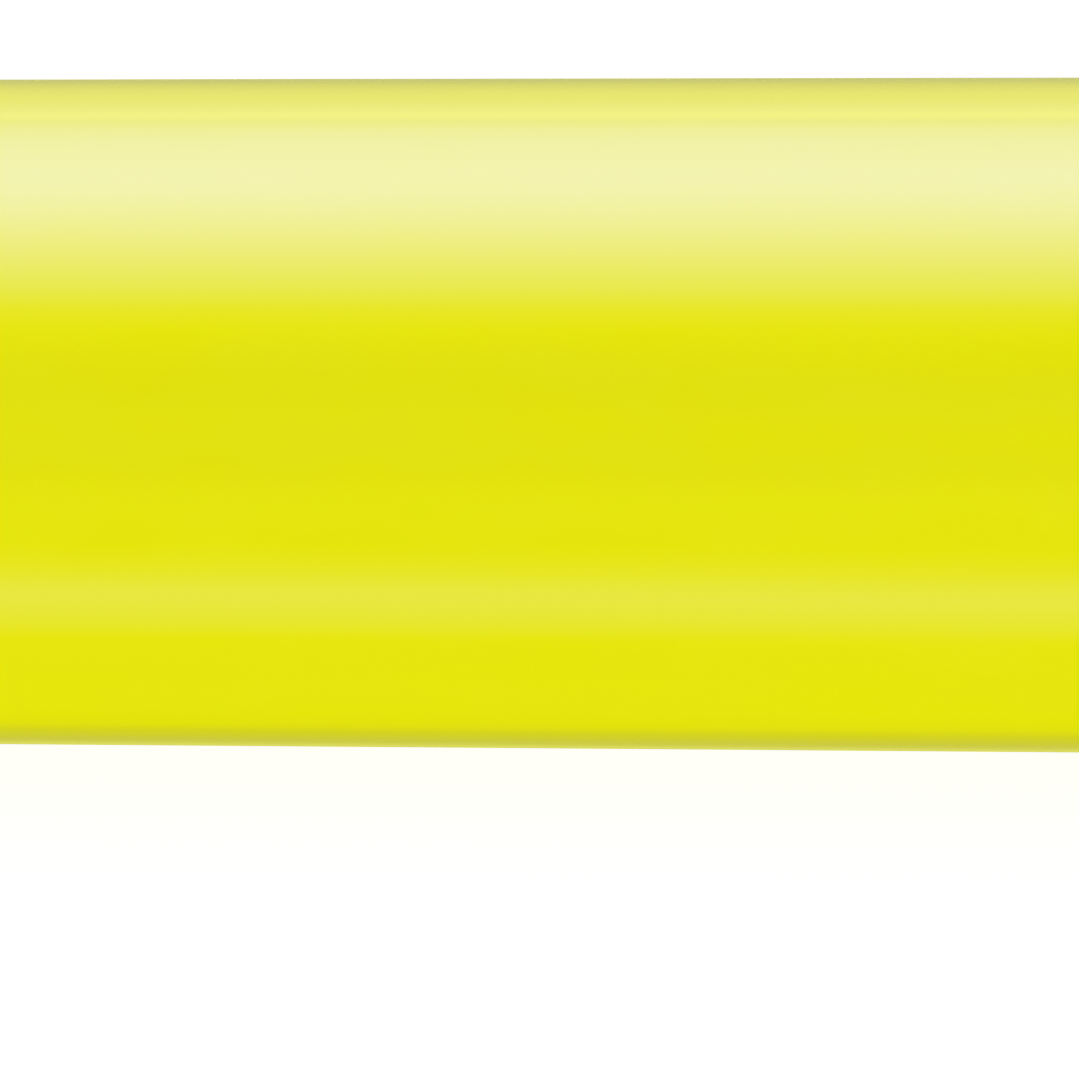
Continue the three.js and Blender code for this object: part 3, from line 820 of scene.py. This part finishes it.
def make_cap_shell():
    """Tapered shell with finger flutes, a rounded mouth, and the groove that snaps over the neck."""
    before = outline(
        (
            (CAP_START + 1, CAP_LAND_R, 0),
            (CAP_START, CAP_LAND_R, 0.25),
            (CAP_START, CAP_MOUTH_R, 0.32),
            (FLUTE_START - 1, shell_radius(FLUTE_START - 1), 0),
        ),
        closed=False,
    )
    after = outline(
        (
            (FLUTE_END + 1, shell_radius(FLUTE_END + 1), 0),
            (CAP_END, CAP_TOP_R, CAP_EDGE),
            (CAP_END, CAP_BORE_R, 0.12),
            (NECK_END + CAP_LAND_SLOPE, CAP_BORE_R, 0.1),
            (NECK_END, CAP_LAND_R, 0.1),
            *snap_corners(NECK_BEAD, CAP_LAND_R, CAP_GROOVE_R, CAP_GROOVE_SLACK)[::-1],
            (CAP_START + 1.5, CAP_LAND_R, 0),
        ),
        closed=False,
    )
    rings = [ring(p.x, p.y, SHELL_SEGMENTS) for p in before]
    rings += [ring(along, fluted(along), SHELL_SEGMENTS) for along in shell_places()]
    rings += [ring(p.x, p.y, SHELL_SEGMENTS) for p in after]
    shell = mesh_object("cap_body", *skin(rings, closed=True), CAP)
    finished(shell, LID, "cap", ["cap_shell"])


def cap_rib():
    """The vertices and faces of one fin, which stands up along +Y."""
    low, high = LINER_R + FIT, CAP_BORE_R + CAP_RIB_ROOT
    slope, drop = CAP_RIB_SLOPE
    start = LINER_START + 1
    rings = []
    for along, inner in ((start, low + drop), (start + slope, low), (LINER_END, low)):
        corners = ((inner, -1), (inner, 1), (high, 1), (high, -1))
        rings.append([Vector((along, r, side * CAP_RIB_WIDTH / 2)) for r, side in corners])
    vertices, faces = skin(rings, closed=False)
    count = len(vertices)
    faces.append((3, 2, 1, 0))
    faces.append((count - 4, count - 3, count - 2, count - 1))
    return vertices, faces


def make_cap_ribs():
    """Six fins inside the shell, which centre the inner cap."""
    rib_vertices, rib_faces = cap_rib()
    vertices, faces = [], []
    for i in range(CAP_RIBS):
        turn = Matrix.Rotation(2 * math.pi * (i + 0.5) / CAP_RIBS, 4, "X")
        first = len(vertices)
        vertices += [turn @ v for v in rib_vertices]
        faces += [tuple(first + v for v in face) for face in rib_faces]
    ribs = mesh_object("cap_ribs", vertices, faces, CAP)
    finished(ribs, LID, "cap", ["cap_shell"], bevel=0.06)


def make_inner_cap():
    """Soft liner with a thick sealing lip."""
    lip_end = LINER_START + LIP_LENGTH
    floor = LINER_END - LINER_FLOOR
    lip_r = LAND_R + FIT
    corners = (
        (LINER_END, 0, 0),
        (LINER_END, LINER_R, 0.35),
        (LINER_START, LINER_R, 0.2),
        (LINER_START, lip_r, 0.25),
        (lip_end, lip_r, 0.3),
        (lip_end + LIP_SLOPE, lip_r + LIP_HEIGHT, 0.3),
        (floor, LINER_FLOOR_R, 0.5),
        (floor, 0, 0),
    )
    liner = turned("cap_liner_cup", corners, closed=False)
    finished(liner, WHITE, "cap_liner", ["inner_cap"])


def in_vent(angle):
    """Whether an angle round the crown lies in one of its air slots."""
    pitch = 2 * math.pi / VENTS
    from_slot = (angle + pitch / 2) % pitch - pitch / 2
    return abs(from_slot) < VENT_SPAN / 2


def crown_outline():
    """The crown's outline, and the numbers of its points that bound the slots outside and inside."""
    back = CAP_END + SEAM
    spigot = CAP_BORE_R - FIT
    hollow = spigot - CROWN_WALL
    ceiling = LENGTH - CROWN_FLOOR
    middle = outline(
        (
            *gate_mark(LENGTH, LENGTH - GATE_DEPTH),
            (LENGTH, VENT_INNER_R - VENT_EDGE, 0),
            (LENGTH, VENT_INNER_R, 0),
        ),
        closed=False,
    )
    rim = outline(
        (
            (LENGTH, VENT_OUTER_R, 0),
            (LENGTH, VENT_OUTER_R + VENT_EDGE, 0),
            (LENGTH, CROWN_R, 0.7),
            (back, CROWN_R, 0.12),
            (back, spigot, 0.05),
            (CROWN_START, spigot, 0.3),
            (CROWN_START, hollow, 0.2),
            (ceiling, hollow, 0.2),
            (ceiling, VENT_OUTER_R, 0),
        ),
        closed=False,
    )
    points = middle + rim + [Vector((ceiling, VENT_INNER_R)), Vector((ceiling, 0))]
    outer = (len(middle) - 1, len(middle))
    inner = (len(points) - 3, len(points) - 2)
    return points, outer, inner


def make_crown():
    """Flat-topped plug with curved air slots right through it and a gate mark in the middle."""
    points, outer, inner = crown_outline()
    count = CROWN_SEGMENTS
    rings = [ring(p.x, p.y, count) for p in points]
    starts = [0]
    for one in rings:
        starts.append(starts[-1] + len(one))
    vertices, faces = skin(rings, closed=False)
    slot = {i for i in range(count) if in_vent(2 * math.pi * (i + 0.5) / count)}

    def cut_away(face):
        for low, high in (outer, inner):
            if all(starts[low] <= v < starts[high + 1] for v in face):
                columns = sorted({(v - starts[low]) % count for v in face})
                wraps = columns == [0, count - 1]
                return (count - 1 if wraps else columns[0]) in slot
        return False

    faces = [face for face in faces if not cut_away(face)]
    edges = [starts[outer[0]], starts[outer[1]], starts[inner[0]], starts[inner[1]]]
    for i in slot:
        j = (i + 1) % count
        faces.append((edges[0] + i, edges[0] + j, edges[3] + j, edges[3] + i))
        faces.append((edges[1] + j, edges[1] + i, edges[2] + i, edges[2] + j))
        if (i - 1) % count not in slot:
            faces.append(tuple(edge + i for edge in edges))
        if j not in slot:
            faces.append(tuple(edge + j for edge in reversed(edges)))
    crown = mesh_object("crown_plug", vertices, faces, CAP)
    finished(crown, LID, "cap", ["cap_crown"], bevel=0.07)


# ---- Clip ----

# The clip's lower edge touches the table, as a sharp one would at CORNER_R.
CORNER_R = (AXIS_Z - CLIP_HALF_WIDTH * math.cos(CLIP_DROP)) / math.sin(CLIP_DROP)
CLIP_OUTER_R = CORNER_R + CLIP_CORNER_RELIEF
CLIP_INNER_R = CLIP_OUTER_R - CLIP_THICKNESS
ELBOW = Vector((BOSS_START - CLIP_ELBOW, CLIP_INNER_R - CLIP_ELBOW))  # centre of the inner bend


def clip_section(inner, outer, half_width):
    """A ring of points: a rectangle from inner to outer, with rounded edges and a domed outer face."""
    height = (outer - inner).length
    up = (outer - inner) / height
    largest_edge = min(height * 0.45, half_width * 0.9)  # that fits the small sections at the tip
    outer_edge = min(CLIP_EDGE, largest_edge)
    inner_edge = min(CLIP_INNER_EDGE, largest_edge)
    right = []
    for i in range(CLIP_FACE_STEPS):  # the outer face, from its middle to its edge
        side = (half_width - outer_edge) * i / CLIP_FACE_STEPS
        right.append((height - CLIP_CROWNING * (side / CLIP_HALF_WIDTH) ** 2, side))
    top = height - CLIP_CROWNING * ((half_width - outer_edge) / CLIP_HALF_WIDTH) ** 2
    for i in range(FILLET_STEPS + 1):
        angle = math.pi / 2 * (1 - i / FILLET_STEPS)
        side = half_width - outer_edge + outer_edge * math.cos(angle)
        right.append((top - outer_edge + outer_edge * math.sin(angle), side))
    for i in range(FILLET_STEPS + 1):
        angle = -math.pi / 2 * i / FILLET_STEPS
        side = half_width - inner_edge + inner_edge * math.cos(angle)
        right.append((inner_edge + inner_edge * math.sin(angle), side))
    for i in range(1, CLIP_FACE_STEPS):  # the inner face, from its edge to its middle
        right.append((0.0, (half_width - inner_edge) * (1 - i / CLIP_FACE_STEPS)))
    left = [(out, -side) for out, side in reversed(right[1:])]
    points = []
    for out, side in right + [(0.0, 0.0)] + left:
        place = inner + up * out
        points.append(Vector((place.x, place.y, side)))
    return points


def boss_rings(top):
    """The clip's boss up to its top ring: the fillet that it stands on, and its straight sides."""
    profile = [(-BOSS_SINK, BOSS_FILLET)]
    for i in range(BOSS_FILLET_STEPS + 1):
        angle = math.pi / 2 * (1 - i / BOSS_FILLET_STEPS)
        above = BOSS_FILLET * (1 - math.sin(angle)) - BOSS_TUCK
        profile.append((above, BOSS_FILLET * (1 - math.cos(angle))))
    rings = [[standing_on_shell(point, above, push) for point in top] for above, push in profile]
    foot = rings[-1]
    for i in range(1, BOSS_SIDE_STEPS):
        share = i / BOSS_SIDE_STEPS
        rings.append([low.lerp(high, share) for low, high in zip(foot, top)])
    return rings


def standing_on_shell(point, above, push):
    """A point of the boss's outline, pushed outwards, at a height above the shell's surface."""
    along = (point.x - (BOSS_START + BOSS_END) / 2) / ((BOSS_END - BOSS_START) / 2)
    across = point.z / CLIP_HALF_WIDTH
    outward = Vector((along * abs(along) ** 3, 0, across * abs(across) ** 3)).normalized()
    moved = point + outward * push
    moved.x = min(moved.x, CAP_END - CAP_EDGE)
    reach = shell_radius(moved.x) + above
    return Vector((moved.x, math.sqrt(reach**2 - moved.z**2), moved.z))


def elbow_rings():
    """The bend between the boss and the arm, fanned about the inner bend's centre."""
    power = CLIP_ELBOW_SQUARENESS
    reach_along = BOSS_END - ELBOW.x
    reach_out = CLIP_OUTER_R - ELBOW.y
    rings = []
    for i in range(CLIP_ELBOW_STEPS):
        angle = math.pi / 2 * i / CLIP_ELBOW_STEPS
        direction = Vector((math.cos(angle), math.sin(angle)))
        reach = ((direction.x / reach_along) ** power + (direction.y / reach_out) ** power) ** (-1 / power)
        inner = ELBOW + direction * CLIP_ELBOW
        rings.append(clip_section(inner, ELBOW + direction * reach, CLIP_HALF_WIDTH))
    return rings


def rounded_end(share):
    """The height of a quarter of a circle, from 0 at its tip (share 0) to 1."""
    return math.sqrt(1 - (1 - min(share, 1.0)) ** 2)


def arm_ring(along):
    """The arm's section: it narrows to the tip, and its bump comes close to the shell."""
    to_tip = (ELBOW.x - along) / (ELBOW.x - CLIP_TIP)
    half_width = CLIP_HALF_WIDTH + (CLIP_TIP_HALF_WIDTH - CLIP_HALF_WIDTH) * to_tip
    half_width *= rounded_end((along - CLIP_TIP) / CLIP_TIP_HALF_WIDTH)
    ramp = CLIP_BUMP_RAMP if along > CLIP_BUMP_AT else CLIP_BUMP_AT - CLIP_TIP
    from_bump = min(abs(along - CLIP_BUMP_AT) / ramp, 1.0)
    bump_height = CLIP_INNER_R - shell_radius(CLIP_BUMP_AT) - CLIP_BUMP_GAP
    bump = bump_height * (0.5 + 0.5 * math.cos(math.pi * from_bump))
    past_bump = max(0.0, (CLIP_BUMP_AT - along) / (CLIP_BUMP_AT - CLIP_TIP))
    thinning = CLIP_THINNING * past_bump**2
    low, high = CLIP_INNER_R - bump + thinning, CLIP_OUTER_R - thinning
    middle = (low + high) / 2
    half = (high - low) / 2 * rounded_end((along - CLIP_TIP) / CLIP_NOSE)
    return clip_section(Vector((along, middle - half)), Vector((along, middle + half)), half_width)


def make_clip():
    """Boss, elbow and arm as the one springy moulding that they are."""
    elbow = elbow_rings()
    rings = boss_rings(elbow[0]) + elbow
    for i in range(CLIP_ARM_STEPS):
        share = math.sin(math.pi / 2 * i / CLIP_ARM_STEPS)  # closer together towards the tip
        rings.append(arm_ring(ELBOW.x + (CLIP_TIP - ELBOW.x) * share))
    foot = sum(rings[0], Vector()) / len(rings[0])
    tip = sum(rings[-1], Vector()) / len(rings[-1])
    tip.x = CLIP_TIP
    rings = [[foot]] + rings + [[tip]]
    clip = mesh_object("spring_clip", *skin(rings, closed=False), CAP)
    finished(clip, LID, None, ["clip"])
    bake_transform(clip)


# ---- Camera ----

ELEVATION = math.radians(18)
ROLL = math.radians(0.17)
FRAME_WIDTH = 1.611  # in barrel diameters
AIM_BELOW = 0.188  # how far under the axis the camera aims, in barrel diameters
LENS = 300  # millimetres
SENSOR_WIDTH = 36


def add_camera():
    """A long lens on the middle of the barrel, square to it and a little above it."""
    data = bpy.data.cameras.new("camera")
    data.lens = LENS
    data.sensor_width = SENSOR_WIDTH
    data.clip_start = 0.01
    data.clip_end = 20
    middle = (BARREL_START + BARREL_END) / 2
    diameter = 2 * outer_radius(middle) * MM
    back = Vector((0, -math.cos(ELEVATION), math.sin(ELEVATION)))
    up = Vector((0, math.sin(ELEVATION), math.cos(ELEVATION)))
    distance = FRAME_WIDTH * diameter * LENS / SENSOR_WIDTH
    camera = bpy.data.objects.new("camera", data)
    camera.location = PEN @ Vector((middle, 0, 0)) - up * AIM_BELOW * diameter + back * distance
    camera.rotation_mode = "QUATERNION"
    level = (-back).to_track_quat("-Z", "Y")
    camera.rotation_quaternion = level @ Quaternion((0, 0, 1), ROLL)
    bpy.context.scene.collection.objects.link(camera)
    bpy.context.scene.camera = camera


# ---- Light ----

# What the gloss mirrors at each angle round the pen, in degrees from the horizon on the camera's side up
# over the top: the level of white light, and of yellow light that the rest of the set sends back.
STUDIO = (
    (-180, 0.35, 0.0),
    (-164, 0.25, 0.4),
    (-148, 0.2, 0.45),
    (-138, 0.15, 0.1),
    (-126, 0.05, 0.1),
    (-118, 0.0, 0.7),
    (-108, 0.0, 0.9),
    (-66, 0.0, 1.1),
    (-60, 0.5, 0.9),
    (-48, 1.4, 0.3),
    (-38, 0.3, 0.9),
    (-30, 0.0, 1.0),
    (-10, 0.0, 0.9),
    (0, 0.0, 0.1),
    (12, 0.0, 0.5),
    (22, 0.0, 0.0),
    (30, 0.0, 0.0),
    (46, 0.0, 1.1),
    (53, 0.4, 0.9),
    (68, 3.6, 0.2),
    (88, 8.4, 0.0),
    (98, 9.8, 0.0),
    (106, 9.5, 0.0),
    (124, 6.0, 0.0),
    (137, 2.6, 0.0),
    (141, 2.3, 3.0),
    (145, 1.9, 0.2),
    (154, 1.0, 0.0),
    (168, 0.55, 0.0),
    (176, 0.4, 0.0),
)
STUDIO_LEVEL = 10.0  # the light of a colour of 1 on the ramp
STUDIO_FADE = (0.8, 3.0)  # where the studio's light gives way to its ends' glow, in metres along the pen
END_GLOW = (0.62, 0.62, 0.32)
TENT_RADIUS = 3.0
BACKDROP_RADIUS = 2.7
BACKDROP_LIGHT = 1.8  # overexposed
ROOM_LIGHT = 1.06
TABLE_REACH = 2.0  # from its middle to each side
TABLE_GLOW = 1.28

# How the picture rolls off its highlights: scene light, and what it becomes.
FILM_CURVE = ((0.0, 0.0), (0.8, 0.8), (0.95, 0.845), (1.25, 0.905), (1.6, 1.0))
FILM_WHITE = FILM_CURVE[-1][0]


def hidden_from(thing, *rays):
    """Hides a thing from some kinds of light ray."""
    for kind in rays:
        setattr(thing, "visible_" + kind, False)


def sphere_round_set(name, size, material):
    """A sphere round the middle of the pen, for light or backdrop."""
    steps = 96
    turns = [math.pi * i / (steps // 2) for i in range(steps // 2 + 1)]
    rings = [ring(-math.cos(turn), math.sin(turn), steps) for turn in turns]
    sphere = mesh_object(name, *skin(rings, closed=False), Matrix.Scale(size, 4))
    sphere.location = PEN @ Vector((LENGTH / 2, 0, 0))
    sphere.data.materials.append(material)
    return sphere


def add_tent():
    """A large tent of light that only glossy surfaces see."""
    tent = sphere_round_set("studio_tent", TENT_RADIUS, tent_glow())
    hidden_from(tent, "camera", "diffuse", "transmission", "volume_scatter", "shadow")


def add_backdrop():
    """The overexposed white behind everything, which only the camera sees."""
    s = Shader("backdrop white")
    s.set(Base_Color=(0, 0, 0, 1), Emission_Color=(1, 1, 1, 1), Emission_Strength=BACKDROP_LIGHT)
    backdrop = sphere_round_set("backdrop", BACKDROP_RADIUS, s.material)
    hidden_from(backdrop, "glossy", "diffuse", "transmission", "volume_scatter", "shadow")


def tent_glow():
    """Light by the angle round the pen's axis, which fades to a dim glow beyond the pen's ends."""
    material = bpy.data.materials.new("studio glow")
    material.use_nodes = True
    material.cycles.emission_sampling = "NONE"
    nodes, links = material.node_tree.nodes, material.node_tree.links
    nodes.clear()

    def maths(operation, first, second=None):
        node = nodes.new("ShaderNodeMath")
        node.operation = operation
        for socket, value in zip(node.inputs, (first, second)):
            if isinstance(value, float):
                socket.default_value = value
            elif value:
                links.new(value, socket)
        return node.outputs[0]

    def ranged(value, from_range, to_range):
        node = nodes.new("ShaderNodeMapRange")
        for name, number in zip(("From Min", "From Max", "To Min", "To Max"), from_range + to_range):
            node.inputs[name].default_value = number
        links.new(value, node.inputs["Value"])
        return node.outputs["Result"]

    split = nodes.new("ShaderNodeSeparateXYZ")
    links.new(nodes.new("ShaderNodeTexCoord").outputs["Object"], split.inputs[0])
    along, across, up = split.outputs
    angle = maths("ARCTAN2", up, maths("MULTIPLY", across, -1.0))
    ramp = nodes.new("ShaderNodeValToRGB")
    fill_ramp(ramp.color_ramp)
    links.new(ranged(angle, (-math.pi, math.pi), (0, 1)), ramp.inputs["Fac"])
    fade = nodes.new("ShaderNodeMix")
    fade.data_type = "RGBA"
    links.new(ranged(maths("ABSOLUTE", along), STUDIO_FADE, (0, 1)), fade.inputs[0])
    side, end = [socket for socket in fade.inputs if socket.type == "RGBA"]
    links.new(ramp.outputs["Color"], side)
    end.default_value = (*(level / STUDIO_LEVEL for level in END_GLOW), 1)
    glow = nodes.new("ShaderNodeEmission")
    links.new(next(socket for socket in fade.outputs if socket.type == "RGBA"), glow.inputs["Color"])
    glow.inputs["Strength"].default_value = STUDIO_LEVEL
    result = nodes.new("ShaderNodeOutputMaterial")
    links.new(glow.outputs["Emission"], result.inputs["Surface"])
    return material


def fill_ramp(ramp):
    """Puts the studio's levels on a colour ramp that covers a full turn."""
    while len(ramp.elements) < len(STUDIO):
        ramp.elements.new(0.5)
    for stop, (degrees, white, yellow) in zip(ramp.elements, STUDIO):
        stop.position = (degrees + 180) / 360
        warm = (white + yellow) / STUDIO_LEVEL
        stop.color = (warm, warm, white / STUDIO_LEVEL, 1)


def add_room_light():
    """Even white light from all round, which the gloss doesn't mirror."""
    world = bpy.data.worlds.new("white room")
    bpy.context.scene.world = world
    world.use_nodes = True
    background = world.node_tree.nodes["Background"]
    background.inputs["Color"].default_value = (1, 1, 1, 1)
    background.inputs["Strength"].default_value = ROOM_LIGHT
    world.cycles_visibility.glossy = False


def add_table():
    """White table that glows like a light table, takes a faint shadow, and isn't mirrored in the gloss."""
    signs = ((-1, -1), (1, -1), (1, 1), (-1, 1))
    corners = [Vector((x * TABLE_REACH, y * TABLE_REACH, 0)) for x, y in signs]
    table = mesh_object("table", corners, [(0, 1, 2, 3)], Matrix.Identity(4))
    s = Shader("table white")
    s.set(Base_Color=(0.5, 0.5, 0.5, 1), Roughness=1.0, Specular_IOR_Level=0.0)
    s.set(Emission_Color=(1, 1, 1, 1), Emission_Strength=TABLE_GLOW)
    table.data.materials.append(s.material)
    hidden_from(table, "glossy", "diffuse")


def set_film():
    """Plain colours, with highlights that roll off as on film."""
    view = bpy.context.scene.view_settings
    view.view_transform = "Standard"
    view.look = "None"
    view.use_curve_mapping = True
    view.curve_mapping.white_level = [FILM_WHITE] * 3
    points = view.curve_mapping.curves[3].points
    while len(points) < len(FILM_CURVE):
        points.new(0.5, 0.5)
    for point, (light, shown) in zip(points, FILM_CURVE):
        point.location = (light / FILM_WHITE, shown)
        point.handle_type = "VECTOR"
    view.curve_mapping.update()


add_camera()
make_barrel()
make_tail_plug()
make_reservoir_film()
make_reservoir_core()
make_breather_tube()
make_section()
make_nib()
make_cap_shell()
make_cap_ribs()
make_inner_cap()
make_crown()
make_clip()
add_tent()
add_backdrop()
add_room_light()
add_table()
set_film()
